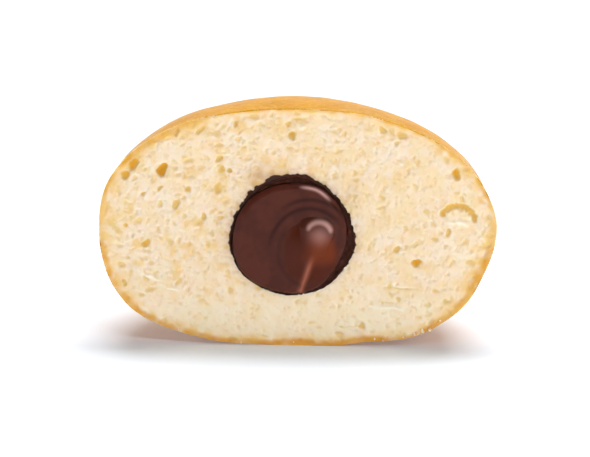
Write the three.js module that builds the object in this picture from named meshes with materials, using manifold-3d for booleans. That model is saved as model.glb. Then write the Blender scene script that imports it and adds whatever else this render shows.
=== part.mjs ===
// Half of a round filled doughnut. It stands on its base with the cut face towards -Y.
//
// The dough is one solid: a fried bun cut through its middle, with a pocket in the cut
// face and open pores in its crumb. The chocolate cream is a second solid, which fills
// the pocket and stands out of it as a piped dollop whose tip has drooped.
//
// Millimetres, +Z up. Both pieces are shaped about the middle of the whole doughnut, so
// +Y points away from the cut face, and x and z are measured in the cut face. At the end
// the pair is moved so that the origin is under its middle, on the surface it stands on.

import * as THREE from "three";
import { mergeVertices } from "three/addons/utils/BufferGeometryUtils.js";
import Module from "manifold-3d";

// ---- driving dimensions of the bun ----
const radius = 42.9; // half of the greatest width, at the waist
const waistHeight = 26.6; // from the surface it stands on to the middle
const crownRise = 26.6; // from the middle to the top of the crown
const baseDrop = 27; // how far the round of the base would reach below the middle
const baseSag = 2.9; // how much further it would reach at the back, where it lies flattest
const footSoftness = 0.8; // how gently the round of the base turns into its flat foot
const crownExponent = 2.14; // 2 is an ellipse, and more is squarer
const baseExponent = 2.49;

// The pale band where the bun floated in the oil is drawn in a little.
const collarHeight = 2.4; // above the middle
const collarHalfWidth = 6;
const collarDepth = 0.45;

// Swells and flats of a bun shaped by hand: where each lies, as a direction from the
// middle, how wide it is, as an angle in radians, and how far it stands out.
const broadSwells = [
  { towards: [0.36, 0.1, 0.93], width: 0.22, height: -0.1 },
  { towards: [-0.72, 0.2, 0.66], width: 0.34, height: 0.6 },
  { towards: [-0.45, 0.85, 0.28], width: 0.45, height: 0.7 },
  { towards: [0.5, 0.8, 0.34], width: 0.4, height: -0.7 },
  { towards: [0.08, 0.6, 0.8], width: 0.42, height: 0.3 },
  { towards: [0.6, 0.7, -0.38], width: 0.35, height: 0.45 },
];
// Smaller ones along the edge of the cut, each at a turn in degrees from +X towards +Z.
const edgeSwellWidth = 0.14;
const edgeSwells = [
  { turn: 2, height: 1.0 },
  { turn: 62, height: 0.4 },
  { turn: 190, height: -0.4 },
  { turn: 210, height: 0.5 },
  { turn: 268, height: 0.5 },
  { turn: 300, height: -0.6 },
  { turn: 318, height: 0.6 },
  { turn: 345, height: -0.7 },
];

// ---- driving dimensions of the pocket and the cream ----
const pocketRadius = 13.5;
const pocketDepth = 15;
const pocketDrop = 1.7; // the pocket's centre lies this far below the middle
const creamGap = 0.3; // between the cream and the pocket's wall

const discRadius = 12.4; // the smooth face of the cream
const discCentre = [-0.5, -0.8]; // from the pocket's centre
const discHeight = 1.5; // how far that face stands out of the cut
const rimRecess = 0.9; // how far the cream lies back where it meets the wall
const coilRadius = 7.6; // the last turn of the piped cream, on that face
const coilCentre = [2.4, -2.2];
const coilHeight = 1.7;
const dropHead = [4.2, -0.4]; // the drop that the nozzle left, from its head to its tip
const dropTip = [1.5, -10.4];
const dropWidth = 4.3;
const dropHeight = 3.0;
const tipWidth = 0.7;
const tipHeight = 0.9;

// ---- pores ----
const poreDepthShare = 0.8; // a pore's depth, as a share of its shorter half
const scatteredPores = 26;
const scatterSeed = 7;
const edgeMargin = 2.6; // scattered pores keep this far from the crust and the pocket
// The pores that stand out: x and z from the middle, the two halves, and the turn of the
// longer one from level, in degrees.
const namedPores = [
  { at: [-29.0, 12.4], halves: [1.5, 1.0], turn: 75 },
  { at: [-36.2, 12.8], halves: [1.9, 0.75], turn: 58 },
  { at: [-38.3, 9.7], halves: [1.5, 0.75], turn: 62 },
  { at: [-26.0, 4.6], halves: [1.4, 0.7], turn: 55 },
  { at: [-17.3, 8.3], halves: [1.3, 0.7], turn: 70 },
  { at: [-20.8, 20.6], halves: [1.2, 0.6], turn: 30 },
  { at: [-0.4, 19.4], halves: [1.0, 0.8], turn: 10 },
  { at: [22.2, 20.4], halves: [1.4, 0.6], turn: -20 },
  { at: [34.7, 12.5], halves: [1.5, 1.1], turn: 80 },
  { at: [26.2, -6.3], halves: [1.1, 0.9], turn: 40 },
  { at: [21.9, -3.2], halves: [0.9, 0.8], turn: 0 },
  { at: [-32.3, -3.2], halves: [1.1, 0.8], turn: 50 },
];
// A curved crack above a fold in the crumb, as pores on an arc.
const crack = { centre: [34.2, -0.6], radius: 4.2, from: 40, to: 150, pores: 6, half: 0.7 };

// ---- fineness of the solids ----
const doughAround = 80;
const doughBackRows = 18;
const doughFaceRows = 5;
const doughPocketRows = 7;
const creamAround = 60;
const creamFrontRows = 18;
const creamBackRows = 7;

const degrees = Math.PI / 180;

const swells = [
  ...broadSwells,
  ...edgeSwells.map(({ turn, height }) => ({
    towards: [Math.cos(turn * degrees), 0, Math.sin(turn * degrees)],
    width: edgeSwellWidth,
    height,
  })),
].map((swell) => ({ ...swell, towards: new THREE.Vector3(...swell.towards) }));

// How deep a point of the skin lies below the middle once the bun is set down: a depth past
// the foot's is held at the foot, and one just above it is eased into the flat.
function settledDepth(depth) {
  const own = THREE.MathUtils.clamp(0.5 + (0.5 * (waistHeight - depth)) / footSoftness, 0, 1);
  return waistHeight + (depth - waistHeight) * own - footSoftness * own * (1 - own);
}

// Distance from the middle of the bun to its skin, in a direction of length 1.
function skinDistance(direction) {
  const level = Math.hypot(direction.x, direction.y);
  const backwards = level > 0 ? Math.max(0, direction.y) / level : 0;
  const isCrown = direction.z >= 0;
  const exponent = isCrown ? crownExponent : baseExponent;
  const reach = isCrown ? crownRise : baseDrop + baseSag * backwards;
  const sum = (level / radius) ** exponent + (Math.abs(direction.z) / reach) ** exponent;
  let distance = sum ** (-1 / exponent);

  for (const { towards, width, height } of swells) {
    distance += height * Math.exp(-((direction.angleTo(towards) / width) ** 2));
  }

  const fromCollar = (distance * direction.z - collarHeight) / collarHalfWidth;
  distance -= collarDepth * Math.exp(-(fromCollar ** 2));

  const depth = -distance * direction.z;
  return depth > waistHeight - footSoftness ? settledDepth(depth) / -direction.z : distance;
}

function skinPoint(direction) {
  return direction.clone().multiplyScalar(skinDistance(direction));
}

// A point of the bun's outline in the cut face, at an angle from +X.
function outlinePoint(angle) {
  return skinPoint(new THREE.Vector3(Math.cos(angle), 0, Math.sin(angle)));
}

// A point of a bowl that opens in the cut face: the pocket, or the back of the cream.
// turn goes round the bowl, and down goes from 0 at its rim to 1 at its deepest point.
function bowlPoint(turn, down, bowlRadius, bowlDepth) {
  const slope = (down * Math.PI) / 2;
  return new THREE.Vector3(
    bowlRadius * Math.cos(slope) * Math.cos(turn),
    bowlDepth * Math.sin(slope),
    bowlRadius * Math.cos(slope) * Math.sin(turn) - pocketDrop,
  );
}

// A closed surface made from a sphere whose poles lie on the Y axis. Its rows run from the
// back pole to the front pole, and place(row, turn) says where each vertex goes.
function mouldedSphere(around, rows, place) {
  const geometry = new THREE.SphereGeometry(1, around, rows);
  const position = geometry.attributes.position;
  const vertex = new THREE.Vector3();
  for (let i = 0; i < position.count; i++) {
    vertex.fromBufferAttribute(position, i);
    const row = Math.round((Math.acos(THREE.MathUtils.clamp(vertex.y, -1, 1)) / Math.PI) * rows);
    const turn = Math.atan2(vertex.z, vertex.x);
    position.setXYZ(i, ...place(row, turn).toArray());
  }
  return geometry;
}

// The bun's skin, then its cut face from the outline to the pocket, then the pocket.
function doughGeometry() {
  const rows = doughBackRows + doughFaceRows + doughPocketRows;
  return mouldedSphere(doughAround, rows, (row, turn) => {
    if (row <= doughBackRows) {
      const fromFace = (1 - row / doughBackRows) * (Math.PI / 2);
      const level = Math.cos(fromFace);
      const direction = new THREE.Vector3(
        level * Math.cos(turn),
        Math.sin(fromFace),
        level * Math.sin(turn),
      );
      return skinPoint(direction);
    }
    const rim = bowlPoint(turn, 0, pocketRadius, pocketDepth);
    if (row <= doughBackRows + doughFaceRows) {
      return outlinePoint(turn).lerp(rim, (row - doughBackRows) / doughFaceRows);
    }
    const down = (row - doughBackRows - doughFaceRows) / doughPocketRows;
    return bowlPoint(turn, down, pocketRadius, pocketDepth);
  });
}

// How far the cream stands out of the cut face, at a place measured from the pocket's centre.
function creamHeight(x, z) {
  const fromDisc = Math.hypot(x - discCentre[0], z - discCentre[1]) / discRadius;
  const disc = (discHeight + rimRecess) * Math.max(0, 1 - fromDisc ** 7) ** 0.5 - rimRecess;

  const fromCoil = Math.hypot(x - coilCentre[0], z - coilCentre[1]) / coilRadius;
  const coil = coilHeight * Math.max(0, 1 - fromCoil ** 3) ** 1.2;

  const head = new THREE.Vector2(...dropHead);
  const along = new THREE.Vector2(...dropTip).sub(head);
  const place = new THREE.Vector2(x, z).sub(head);
  const share = THREE.MathUtils.clamp(place.dot(along) / along.lengthSq(), 0, 1);
  const aside = place.distanceTo(along.clone().multiplyScalar(share));
  const width = THREE.MathUtils.lerp(tipWidth, dropWidth, (1 - share) ** 0.9);
  const top = THREE.MathUtils.lerp(tipHeight, dropHeight, (1 - share) ** 0.8);
  const drop = top * Math.max(0, 1 - (aside / width) ** 1.6);
  return disc + coil + drop;
}

// The front of the cream from its crown at the dollop to its rim, then the bowl behind it.
function creamGeometry() {
  const rows = creamBackRows + creamFrontRows;
  const bowlRadius = pocketRadius - creamGap;
  return mouldedSphere(creamAround, rows, (row, turn) => {
    if (row < creamBackRows) {
      return bowlPoint(turn, 1 - row / creamBackRows, bowlRadius, pocketDepth - creamGap);
    }
    const out = bowlRadius * (1 - (row - creamBackRows) / creamFrontRows) ** 0.85;
    const x = out * Math.cos(turn);
    const z = out * Math.sin(turn);
    return new THREE.Vector3(x, -creamHeight(x, z), z - pocketDrop);
  });
}

// An even scatter: draw i of a seeded rule, from 0 to 1.
function draw(i, channel) {
  const raw = Math.sin((i + 1) * 12.9898 + (channel + scatterSeed) * 78.233) * 43758.5453;
  return raw - Math.floor(raw);
}

// Pores spread over the crumb by the golden angle, clear of the crust and the pocket.
function scatteredPoreList() {
  const goldenAngle = Math.PI * (3 - Math.sqrt(5));
  return Array.from({ length: scatteredPores }, (_, i) => {
    const turn = i * goldenAngle;
    const inner = pocketRadius + edgeMargin;
    const outer = outlinePoint(turn).length() - edgeMargin;
    const share = Math.sqrt((i + draw(i, 0)) / scatteredPores);
    const out = THREE.MathUtils.lerp(inner, outer, share);
    const half = 0.55 + 0.45 * draw(i, 1);
    return {
      at: [out * Math.cos(turn), out * Math.sin(turn)],
      halves: [half * (1.1 + 0.5 * draw(i, 2)), half],
      turn: turn / degrees + 90,
    };
  });
}

function crackPoreList() {
  return Array.from({ length: crack.pores }, (_, i) => {
    const angle = THREE.MathUtils.lerp(crack.from, crack.to, i / (crack.pores - 1));
    return {
      at: [
        crack.centre[0] + crack.radius * Math.cos(angle * degrees),
        crack.centre[1] + crack.radius * Math.sin(angle * degrees),
      ],
      halves: [crack.half * 1.5, crack.half * 0.8],
      turn: angle + 90,
    };
  });
}

// One pore: an egg-shaped hollow whose middle lies in the cut face.
function poreGeometry({ at, halves, turn }) {
  const geometry = new THREE.SphereGeometry(1, 9, 6);
  geometry.scale(halves[0], halves[1] * poreDepthShare, halves[1]);
  geometry.rotateY(-turn * degrees);
  geometry.translate(at[0], 0, at[1]);
  return geometry;
}

const wasm = await Module();
wasm.setup();

function toSolid(geometry) {
  const bare = geometry.clone();
  bare.deleteAttribute("normal");
  bare.deleteAttribute("uv");
  const merged = mergeVertices(bare, 1e-4);
  return new wasm.Manifold(
    new wasm.Mesh({
      numProp: 3,
      vertProperties: new Float32Array(merged.attributes.position.array),
      triVerts: new Uint32Array(merged.index.array),
    }),
  );
}

function toGeometry(solid) {
  const mesh = solid.getMesh();
  const geometry = new THREE.BufferGeometry();
  geometry.setAttribute("position", new THREE.BufferAttribute(mesh.vertProperties, 3));
  geometry.setIndex(new THREE.BufferAttribute(mesh.triVerts, 1));
  geometry.computeVertexNormals();
  return geometry;
}

function makeDough() {
  const pores = [...namedPores, ...crackPoreList(), ...scatteredPoreList()];
  let solid = toSolid(doughGeometry());
  for (const pore of pores) {
    solid = solid.subtract(toSolid(poreGeometry(pore)));
  }
  const material = new THREE.MeshStandardMaterial({ color: 0xeec27e, roughness: 0.75 });
  const mesh = new THREE.Mesh(toGeometry(solid), material);
  mesh.name = "dough";
  return mesh;
}

function makeCream() {
  const material = new THREE.MeshStandardMaterial({ color: 0x55332b, roughness: 0.25 });
  const mesh = new THREE.Mesh(creamGeometry(), material);
  mesh.name = "cream_filling";
  return mesh;
}

const doughnut = new THREE.Group();
doughnut.name = "filled_doughnut_half";
doughnut.add(makeDough(), makeCream());

const box = new THREE.Box3().setFromObject(doughnut, true);
const middle = box.getCenter(new THREE.Vector3());
doughnut.position.set(-middle.x, -middle.y, -box.min.z);

export default doughnut;
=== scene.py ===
# %% [markdown]
# # A filled doughnut, cut in half
# A round bun is fried on both sides, filled with chocolate cream through its side and cut
# through the middle. Half of it stands on its browned base, with the cut towards us.
# There are three pieces to make: the dough, which is crumb with a thin fried crust round
# it, the cream in its pocket, and a few torn flecks of crumb at the edge of the cut.
# Everything is worked out in millimetres about the middle of the whole bun, because that
# is how one would measure it, and turned into metres only when a mesh is made.

import math

import bmesh
import bpy
import numpy as np
from mathutils import Matrix, Vector
from mathutils.geometry import delaunay_2d_cdt
from mathutils.kdtree import KDTree


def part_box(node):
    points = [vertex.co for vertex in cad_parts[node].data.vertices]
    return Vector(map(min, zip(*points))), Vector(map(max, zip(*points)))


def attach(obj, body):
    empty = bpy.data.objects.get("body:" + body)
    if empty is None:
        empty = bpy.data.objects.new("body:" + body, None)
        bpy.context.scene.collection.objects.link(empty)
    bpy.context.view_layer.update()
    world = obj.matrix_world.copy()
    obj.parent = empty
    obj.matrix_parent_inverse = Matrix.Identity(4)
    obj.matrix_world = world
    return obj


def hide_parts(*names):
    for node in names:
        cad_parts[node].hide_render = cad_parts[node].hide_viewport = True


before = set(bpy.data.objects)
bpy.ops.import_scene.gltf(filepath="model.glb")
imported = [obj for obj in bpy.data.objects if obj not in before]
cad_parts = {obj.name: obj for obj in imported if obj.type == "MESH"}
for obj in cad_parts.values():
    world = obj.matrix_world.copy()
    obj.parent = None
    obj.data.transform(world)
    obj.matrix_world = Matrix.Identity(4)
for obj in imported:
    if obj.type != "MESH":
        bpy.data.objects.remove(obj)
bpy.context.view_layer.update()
MM = 0.001

# %% [markdown]
# ## The form of the bun
# A fried bun is a squashed ball. Proving makes its crown round, the oil leaves a slightly
# drawn-in pale band at its waist, and its own weight gives it a small flat foot. A scan or
# a sculpted mesh could hold that, but a formula needs only a few sizes: the distance from
# the middle to the skin in any direction. It is a rounded ellipse, with swells and dents
# where hands shaped it, and the foot is eased into the flat.

# %% Sizes of the bun, in millimetres
bun_radius = 42.9
waist_height = 26.6  # from the table to the middle
crown_rise = 26.6
base_drop = 27.0  # how far the round of the base would reach below the middle
base_sag = 2.9  # how much further it would reach at the back
foot_softness = 0.8
crown_exponent = 2.14  # 2 is an ellipse, and more is squarer
base_exponent = 2.49
collar_height = 2.4  # the pale band's middle, above the middle of the bun
collar_half_width = 6.0
collar_depth = 0.45

# Each swell: the direction it lies in, its width in radians, its height in millimetres.
broad_swells = [
    ((0.36, 0.1, 0.93), 0.22, -0.1),
    ((-0.72, 0.2, 0.66), 0.34, 0.6),
    ((-0.45, 0.85, 0.28), 0.45, 0.7),
    ((0.5, 0.8, 0.34), 0.4, -0.7),
    ((0.08, 0.6, 0.8), 0.42, 0.3),
    ((0.6, 0.7, -0.38), 0.35, 0.45),
]
# Smaller ones along the edge of the cut: the turn in degrees from +X towards +Z, the height.
edge_swell_width = 0.14
edge_swells = [
    (2, 1.0), (62, 0.4), (190, -0.4), (210, 0.5), (268, 0.5), (300, -0.6), (318, 0.6), (345, -0.7),
]


# %% The skin: how far it lies from the middle
def unit(vector):
    vector = np.asarray(vector, float)
    return vector / np.linalg.norm(vector)


def bell(value, width):
    """1 where the value is 0, and less to both sides, by 63 % at the width."""
    return np.exp(-((value / width) ** 2))


swells = [(unit(towards), width, height) for towards, width, height in broad_swells]
for turn, height in edge_swells:
    angle = math.radians(turn)
    swells.append((np.array([math.cos(angle), 0, math.sin(angle)]), edge_swell_width, height))


def skin_distance(directions):
    """Distance from the middle to the skin, in mm, for rows of directions of length 1."""
    level = np.hypot(directions[:, 0], directions[:, 1])
    upwards = directions[:, 2]
    backwards = np.maximum(directions[:, 1], 0) / np.maximum(level, 1e-9)
    exponent = np.where(upwards >= 0, crown_exponent, base_exponent)
    reach = np.where(upwards >= 0, crown_rise, base_drop + base_sag * backwards)
    round_form = (level / bun_radius) ** exponent + (np.abs(upwards) / reach) ** exponent
    distance = round_form ** (-1 / exponent)
    for towards, width, height in swells:
        distance = distance + height * bell(np.arccos(np.clip(directions @ towards, -1, 1)), width)
    distance = distance - collar_depth * bell(distance * upwards - collar_height, collar_half_width)
    depth = -distance * upwards
    own = np.clip(0.5 + 0.5 * (waist_height - depth) / foot_softness, 0, 1)
    settled = waist_height + (depth - waist_height) * own - foot_softness * own * (1 - own)
    in_foot = depth > waist_height - foot_softness
    return np.where(in_foot, settled / np.where(in_foot, -upwards, 1), distance)


def outline_at(turns):
    """The skin's distance in the plane of the cut, at turns in radians from +X towards +Z."""
    return skin_distance(np.stack([np.cos(turns), 0 * turns, np.sin(turns)], axis=-1))


fine_turns = np.linspace(-math.pi, math.pi, 2881)
outline_reach = outline_at(fine_turns)
outline_x = outline_reach * np.cos(fine_turns)
print(f"cut face {np.ptp(outline_x):.1f} x {np.ptp(outline_reach * np.sin(fine_turns)):.1f} mm")

# %% [markdown]
# The CAD dough gives the place: its lowest Y is the plane of the cut, and its X range has
# the same middle as the outline. So the middle of the bun needs no number of its own.

# %% Where the middle of the bun lies in the frame
dough_low, dough_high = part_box("dough")
middle = Vector((
    (dough_low.x + dough_high.x) / 2 - (outline_x.min() + outline_x.max()) / 2 * MM,
    dough_low.y,
    dough_low.z + waist_height * MM,
))
print("middle of the bun, mm:", [round(v / MM, 2) for v in middle])

# %% [markdown]
# ## Unevenness
# Nothing baked is smooth. One small function gives a smooth random height that changes
# over a chosen number of millimetres. It hashes the corners of a grid and blends between
# them, so that the same place always gets the same value. A second one adds up several
# sizes of it, because dough is uneven at every size.


# %% Smooth noise in millimetres
def smooth_noise(points, size, seed):
    """Smooth random values from -1 to 1 that change over `size` millimetres."""
    scaled = np.asarray(points, float) / size + 31.7 * seed
    cell = np.floor(scaled).astype(np.int64)
    share = scaled - cell
    share = share * share * (3 - 2 * share)
    total = np.zeros(len(scaled))
    for corner in np.ndindex(*(2,) * scaled.shape[1]):
        key = (cell + corner) @ np.array([127, 311, 743])[: scaled.shape[1]] + 57 * seed
        value = np.sin(key * 12.9898) * 43758.5453
        weight = np.prod(np.where(corner, share, 1 - share), axis=1)
        total += weight * (value - np.floor(value))
    return 2 * total - 1


def uneven(points, *layers):
    """Smooth noise of several sizes, added up. Each layer: its height, its size, its seed."""
    return sum(height * smooth_noise(points, size, seed) for height, size, seed in layers)


print("a sample of the noise:", np.round(smooth_noise([[0, 0], [1, 0], [2, 0]], 2, 1), 2))

# %% [markdown]
# ## The cut face
# The face shows the crumb: a fine foam with a few larger pores, and torn lines where the
# knife dragged. A bump map alone would look painted from the side, so the pores are real
# hollows. That needs a mesh of about the size of the smallest pore. A grid of points in
# staggered rows gives nearly equal triangles, and a Delaunay triangulation joins them to
# the outline and to the edge of the pocket without any gap.

# %% The pocket and its ragged edge
crumb_pitch = 0.25  # distance between the mesh's points on the cut face
pocket_radius = 13.5
pocket_depth = 15.0
pocket_centre = np.array([0.0, -1.7])
least_tear = 0.12  # how far the crumb round the pocket is torn in and out, at the lower left
most_tear = 0.6  # and at the upper right, where the knife pulled it
torn_towards = math.radians(62)
tear_falloff = 0.7  # the higher, the sooner the tearing lessens away from there
# Where the pocket swells out or draws in: turn in degrees, width in degrees, height in mm.
pocket_swells = [(40, 50, -1.1), (130, 28, -0.8), (208, 28, 0.9), (315, 45, -0.9)]


def on_circle(turns):
    """Points of a circle of radius 1 at these turns."""
    return np.stack([np.cos(turns), np.sin(turns)], axis=-1)


def swelling(turns, own_swells):
    """How far a round edge swells out at each turn, in mm."""
    total = np.zeros(np.shape(turns))
    for turn, width, height in own_swells:
        apart = np.degrees(np.arccos(np.cos(turns - math.radians(turn))))
        total = total + height * bell(apart, width)
    return total


def pocket_edge(turns):
    """Radius of the pocket's torn edge at a turn about the pocket's centre."""
    ragged = uneven(pocket_radius * on_circle(turns), (0.75, 2.8, 3), (0.4, 1.0, 4))
    pulled = (0.5 + 0.5 * np.cos(turns - torn_towards)) ** tear_falloff
    tear = least_tear + (most_tear - least_tear) * pulled
    return pocket_radius + swelling(turns, pocket_swells) + tear * ragged


def ring(radius_at, count):
    """Points of a closed curve about the origin, evenly spaced along it."""
    turns = np.linspace(-math.pi, math.pi, 4001)
    curve = radius_at(turns)[:, None] * on_circle(turns)
    along = np.concatenate([[0], np.cumsum(np.linalg.norm(np.diff(curve, axis=0), axis=1))])
    places = np.linspace(0, along[-1], count, endpoint=False)
    return np.stack([np.interp(places, along, curve[:, k]) for k in (0, 1)], axis=1)


outline_count = 900
pocket_count = 360
outline_ring = ring(outline_at, outline_count)
pocket_ring = ring(pocket_edge, pocket_count) + pocket_centre
print("ring points:", len(outline_ring), len(pocket_ring))

# %% Points of the cut face, in staggered rows
rng = np.random.default_rng(11)
jitter = 0.15  # of the pitch, so that the rows don't show
edge_room = 0.6  # of the pitch, which the rows leave beside the rings


def staggered_rows(half_width, half_height, pitch):
    """Points in a rectangle about the origin, in rows where every second one is shifted."""
    row_gap = pitch * math.sqrt(3) / 2
    levels = np.arange(-half_height, half_height, row_gap)
    x, z = np.meshgrid(np.arange(-half_width, half_width, pitch), levels)
    x = x + (np.arange(len(x)) % 2)[:, None] * pitch / 2
    return np.stack([x.ravel(), z.ravel()], axis=1)


def polar(points):
    """Distance from the origin and turn of each point of a plane."""
    return np.hypot(points[:, 0], points[:, 1]), np.arctan2(points[:, 1], points[:, 0])


def inside_outline(points):
    """How far each point lies inside the outline, in mm, along the line to the middle."""
    reach, turns = polar(points)
    return np.interp(turns, fine_turns, outline_reach) - reach


def outside_pocket(points):
    """How far each point lies outside the pocket's torn edge, in mm."""
    reach, turns = polar(points - pocket_centre)
    return reach - pocket_edge(turns)


rows = staggered_rows(bun_radius + 2, waist_height + 2, crumb_pitch)
rows = rows + rng.uniform(-jitter, jitter, rows.shape) * crumb_pitch
room = edge_room * crumb_pitch
keep = (inside_outline(rows) > room) & (outside_pocket(rows) > room)
face_flat = np.concatenate([outline_ring, pocket_ring, rows[keep]])
print("points on the cut face:", len(face_flat))


# %% Triangles of the cut face
def closed_edges(start, count):
    return [(start + i, start + (i + 1) % count) for i in range(count)]


def triangulate(points, edges):
    """Triangles between points of a plane, inside the outer loop of edges."""
    INSIDE = 1
    NEAREST = 1e-7
    found = delaunay_2d_cdt([Vector(p) for p in points.tolist()], edges, [], INSIDE, NEAREST)
    if len(found[0]) != len(points):
        raise ValueError("the triangulation added or merged points")
    return np.array(found[2])


face_edges = closed_edges(0, outline_count) + closed_edges(outline_count, pocket_count)
face_triangles = triangulate(face_flat, face_edges)
# The triangulation also fills the pocket's mouth, so those triangles go.
mouth_reach, mouth_turns = polar(pocket_ring - pocket_centre)
reach, turns = polar(face_flat[face_triangles].mean(axis=1) - pocket_centre)
mouth = np.interp(turns, mouth_turns, mouth_reach, period=2 * math.pi)
face_triangles = face_triangles[reach > mouth]
print("triangles of the cut face:", len(face_triangles))

# %% [markdown]
# ## Pores and tears
# The pores that anyone would remember are placed one by one: the dark one at the upper left, the pair of
# long ones under the left crust, the curved crack at the right. Each is an egg-shaped hollow. Thousands of
# small ones fill the rest by a seeded draw, many small and few large, longer along the crust near the
# edge, because the dough stretched there as it rose.

# %% Pores and tears placed one by one, in millimetres from the middle
# Each pore: x, z, long half, short half, turn of the long half in degrees.
named_pores = [
    (-28.7, 12.5, 1.7, 1.05, 80), (-34.9, 13.7, 2.0, 0.92, 62), (-36.6, 11.3, 1.4, 0.88, 55),
    (-25.5, 20.9, 0.9, 0.6, 50), (-20.1, 21.7, 1.4, 0.6, 35), (-12.7, 23.0, 0.75, 0.65, 80),
    (-0.7, 20.6, 0.95, 0.85, 0), (-1.5, 23.1, 0.85, 0.6, 0), (-16.3, 15.3, 0.85, 0.7, 45),
    (-15.8, 12.8, 1.0, 0.8, 20), (-14.1, 12.6, 0.75, 0.5, 0), (-23.1, 8.3, 0.95, 0.65, 40),
    (-16.7, 8.7, 1.5, 0.8, 68), (-25.7, 5.0, 1.6, 0.75, 50), (-32.8, 7.2, 0.7, 0.4, 20),
    (-29.2, 8.5, 0.8, 0.42, 30), (-36.6, 0.0, 0.65, 0.45, 60), (-19.7, 2.2, 0.95, 0.55, 100),
    (-32.3, -4.0, 1.2, 0.85, 60), (-37.0, -13.0, 0.75, 0.55, 120), (18.7, 22.1, 0.9, 0.75, -30),
    (22.8, 20.9, 1.5, 0.7, -20), (34.5, 12.5, 1.5, 0.9, 84), (33.0, -0.6, 0.9, 0.65, 80),
    (21.9, -4.6, 0.9, 0.75, 0), (26.1, -7.6, 1.15, 0.92, 60),
]
# A curved crack above a fold in the crumb, pressed as a row of hollows.
crack_centre = (34.9, 1.7)
crack_radius = 3.75
crack_turns = (14, 148)
crack_long = 0.9
crack_half = 0.72
# Torn lines: from x, z to x, z, half width, depth. A ridge has a depth below nothing.
tears = [
    (18.8, -13.2, 26.9, -13.5, 0.26, 0.4),
    (18.4, -12.6, 26.2, -12.9, 0.3, -0.16),
    (16.8, -16.2, 22.6, -16.6, 0.26, 0.32),
    (15.6, -17.6, 24.2, -17.9, 0.4, -0.3),
    (-1.4, 23.9, 3.2, 24.2, 0.26, 0.4),
    (0.2, 22.9, 2.6, 22.6, 0.5, -0.3),
    (-34.4, -9.8, -29.0, -12.6, 0.4, -0.26),
    (-31.4, -13.2, -24.8, -14.6, 0.35, -0.22),
    (32.6, 1.8, 37.6, 1.0, 0.5, -0.3),
    (38.6, 0.2, 41.2, -2.4, 0.4, -0.25),
    (8.0, -21.9, 15.0, -22.2, 0.25, 0.3),
]
print("placed by hand:", len(named_pores), "pores,", len(tears), "tears")

# %% Small pores by a seeded draw
small_pore_count = 6000
smallest_pore = 0.19  # half of its shorter side
largest_pore = 0.75
pore_falloff = 3.9  # the higher, the fewer large ones
share_at_right = 0.7  # the crumb is closer to the right of closer_from
closer_from = -8
clear_of_outline = 0.9
clear_of_pocket = 0.6
stretched_to = 3  # mm from the crust, over which the pores are longer

spots = np.stack([
    rng.uniform(-half, half, small_pore_count) for half in (bun_radius, waist_height)
], axis=1)
opener = rng.uniform(0, 1, small_pore_count) < np.where(spots[:, 0] < closer_from, 1, share_at_right)
in_crumb = (inside_outline(spots) > clear_of_outline) & (outside_pocket(spots) > clear_of_pocket)
spots = spots[opener & in_crumb]
chance = rng.uniform(0, 1, len(spots))
power = 1 - pore_falloff
lowest, highest = smallest_pore**power, largest_pore**power
short_halves = (lowest + chance * (highest - lowest)) ** (1 / power)
stretch = rng.uniform(1.0, 1.6, len(spots)) + 0.6 * bell(inside_outline(spots), stretched_to)
along_crust = np.arctan2(spots[:, 0] * waist_height**2, -spots[:, 1] * bun_radius**2)
turns = along_crust + rng.normal(0, 0.6, len(spots))
print("small pores:", len(spots), "largest", round(short_halves.max(), 2), "mm")

# %% How deep each point of the face lies
small_pore_depth = 0.62  # a pore's depth, as a share of its shorter half
named_pore_depth = 1.5  # for a pore 1 mm from its middle to its edge, and the wider the deeper
shallowest = 0.7  # so that the small ones among them still show
deepest = 1.9
crack_depth = 1.2  # as a share of its half width
farthest_waver = 1.25  # how far out a pore's edge is looked for

face_depth = np.zeros(len(face_flat))
finder = KDTree(len(face_flat))
for number, (x, z) in enumerate(face_flat.tolist()):
    finder.insert((x, z, 0), number)
finder.balance()


def press_pore(x, z, long_half, short_half, turn, depth):
    """Lowers the face's points in one pore, whose edge wavers a little."""
    reach = long_half * farthest_waver
    near = np.array([found[1] for found in finder.find_range((x, z, 0), reach)], int)
    if len(near) == 0:
        return
    out = face_flat[near] - (x, z)
    along = out[:, 0] * math.cos(turn) + out[:, 1] * math.sin(turn)
    aside = out[:, 1] * math.cos(turn) - out[:, 0] * math.sin(turn)
    angle = np.arctan2(aside, along)
    waver = 1 + 0.16 * np.sin(2 * angle + 7 * x) + 0.1 * np.sin(3 * angle + 5 * z)
    share = np.hypot(along / long_half, aside / short_half) * waver
    hollow = depth * np.clip(1 - share**3, 0, 1) ** 0.7
    face_depth[near] = np.maximum(face_depth[near], hollow)


for (x, z), short_half, longer, turn in zip(spots.tolist(), short_halves, stretch, turns):
    press_pore(x, z, short_half * longer, short_half, turn, small_pore_depth * short_half)
for x, z, long_half, short_half, turn in named_pores:
    depth = min(deepest, max(shallowest, named_pore_depth * short_half**3))
    press_pore(x, z, long_half, short_half, math.radians(turn), depth)
for share in np.linspace(0, 1, 13):
    angle = math.radians(crack_turns[0] + share * (crack_turns[1] - crack_turns[0]))
    x = crack_centre[0] + crack_radius * math.cos(angle)
    z = crack_centre[1] + crack_radius * math.sin(angle)
    press_pore(x, z, crack_long, crack_half, angle + math.pi / 2, crack_depth * crack_half)
print("share of the face in a pore:", round(float((face_depth > 0.1).mean()), 2))

# %% Tears, the fine foam and the softened edge
foam_depth = 0.1
set_back = 0.35  # how far the crumb lies behind the plane of the cut
edge_round = 0.55  # the cut's edge is rounded over this distance
edge_round_depth = 0.35


def beside_line(points, start, end):
    """Share of the way from start to end, distance from that line, and to its left."""
    line = np.subtract(end, start)
    share = np.clip((points - start) @ line / (line @ line), 0, 1)
    apart = points - start - share[:, None] * line
    return share, np.linalg.norm(apart, axis=1), apart @ unit([-line[1], line[0]])


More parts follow.
